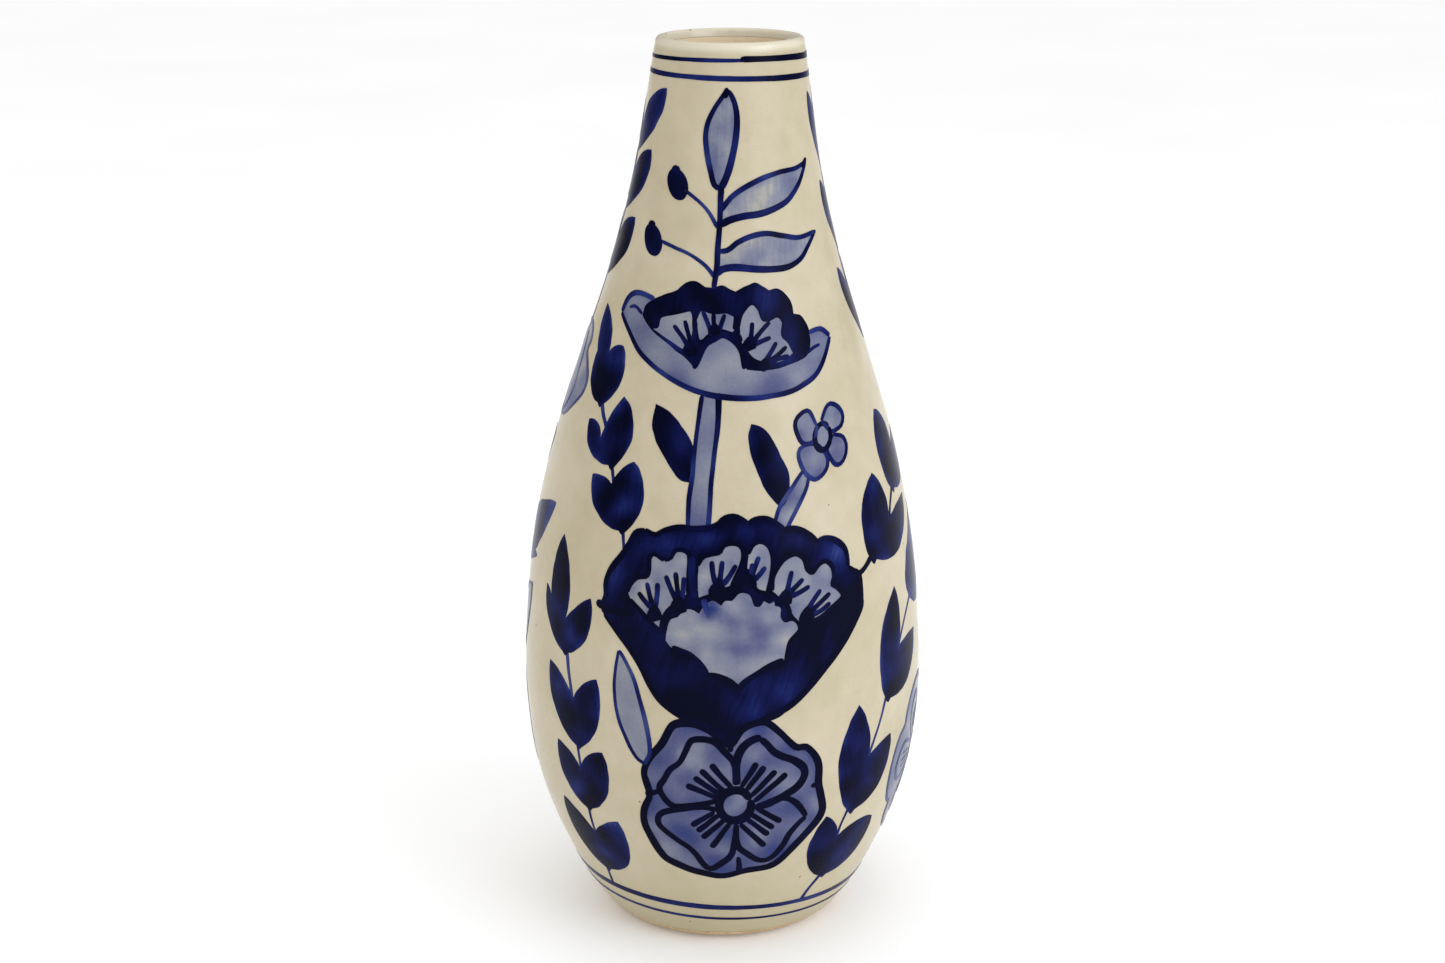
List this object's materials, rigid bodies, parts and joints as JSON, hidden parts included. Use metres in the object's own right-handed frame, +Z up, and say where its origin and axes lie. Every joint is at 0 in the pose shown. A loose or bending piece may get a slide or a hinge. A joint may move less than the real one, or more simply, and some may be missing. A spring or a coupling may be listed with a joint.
{
  "type": "vase",
  "caption": "Tall bottle-shaped majolica pottery vase in cream tin glaze, hand painted in raised cobalt blue with poppies, a rosette, a bud spray and leaf sprigs.",
  "frame": {"origin": "on the vase's axis at the level that the foot ring stands on", "axes": "+Z up the vase's axis, -Y to the front of the painting, +X to the viewer's right when facing the front"},
  "size_m": [0.1374, 0.1376, 0.305],
  "materials": {
    "bare_clay": "fired, unglazed, slightly rough",
    "cream_glaze": "glossy tin glaze, faintly crazed",
    "dark_cobalt": "glossy thick cobalt brushwork",
    "cobalt_line": "glossy cobalt line",
    "cobalt_wash": "glossy thin cobalt wash"
  },
  "bodies": {
    "root": {"back_blossom": "cobalt_wash", "back_bud_spray": "cobalt_line", "back_inner_sprig": "dark_cobalt", "back_leaf_left": "dark_cobalt", "back_leaf_right": "dark_cobalt", "back_lower_sprig": "dark_cobalt", "back_main_stem": "cobalt_wash", "back_outer_sprig": "dark_cobalt", "back_poppy_lines": "dark_cobalt", "back_poppy_wash": "cobalt_wash", "back_rosette_lines": "cobalt_line", "back_rosette_wash": "cobalt_wash", "back_shoulder_sprig": "dark_cobalt", "back_upper_poppy_lines": "dark_cobalt", "back_upper_poppy_wash": "cobalt_wash", "back_wash_leaf": "cobalt_wash", "foot_line_lower": "cobalt_line", "foot_line_upper": "cobalt_line", "foot_ring": "bare_clay", "front_blossom": "cobalt_wash", "front_bud_spray": "cobalt_line", "front_inner_sprig": "dark_cobalt", "front_leaf_left": "dark_cobalt", "front_leaf_right": "dark_cobalt", "front_lower_sprig": "dark_cobalt", "front_main_stem": "cobalt_wash", "front_outer_sprig": "dark_cobalt", "front_poppy_lines": "dark_cobalt", "front_poppy_wash": "cobalt_wash", "front_rosette_lines": "cobalt_line", "front_rosette_wash": "cobalt_wash", "front_shoulder_sprig": "dark_cobalt", "front_upper_poppy_lines": "dark_cobalt", "front_upper_poppy_wash": "cobalt_wash", "front_wash_leaf": "cobalt_wash", "inner_glaze": "cream_glaze", "left_flower": "cobalt_wash", "left_leaf": "dark_cobalt", "left_neck_sprig": "dark_cobalt", "left_rosette": "cobalt_wash", "left_wash_leaf": "cobalt_wash", "lower_body": "bare_clay", "outer_glaze": "cream_glaze", "right_leaf": "dark_cobalt", "right_neck_sprig": "dark_cobalt", "right_rosette": "cobalt_wash", "rim_line_lower": "cobalt_line", "rim_line_upper": "cobalt_line", "upper_body": "bare_clay"}
  },
  "joints": []
}
